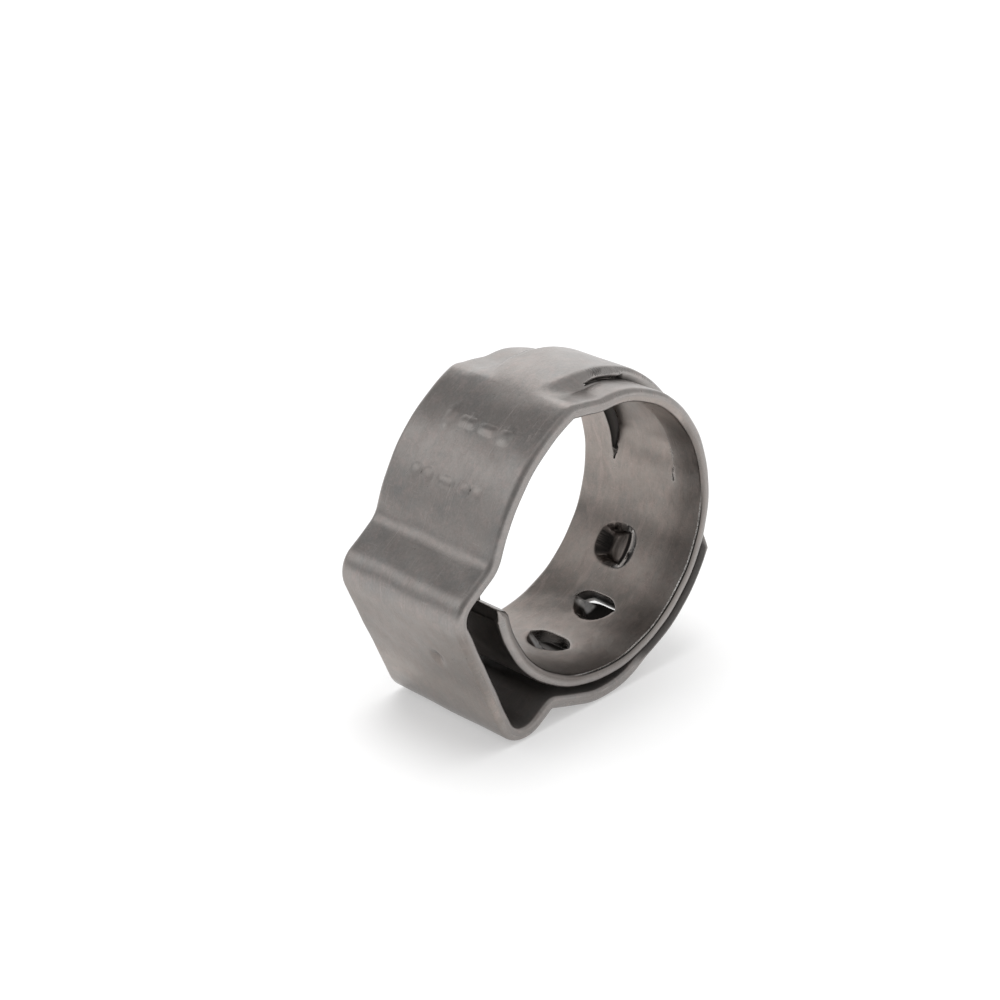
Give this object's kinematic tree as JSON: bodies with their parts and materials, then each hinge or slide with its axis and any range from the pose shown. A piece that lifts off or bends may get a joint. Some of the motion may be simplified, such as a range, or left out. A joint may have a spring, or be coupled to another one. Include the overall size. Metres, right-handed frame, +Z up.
{
  "type": "ear hose clamp",
  "caption": "Stepless ear hose clamp folded from a stainless strip, with a crimp ear, a tongue under a raised channel, and drawn hooks seated in windows of the overlapping tail.",
  "frame": {"origin": "centre of the ring's bore, on its axis, at mid-width of the strip", "axes": "+Y along the bore axis towards the back rim, +Z up with the ring standing on the ear's lower corner and the tail, the ear towards -X"},
  "size_m": [0.0156, 0.007, 0.0144],
  "materials": {
    "band": "satin rolled stainless strip with rounded edges"
  },
  "bodies": {
    "root": {"clamp_band": "band"}
  },
  "joints": []
}
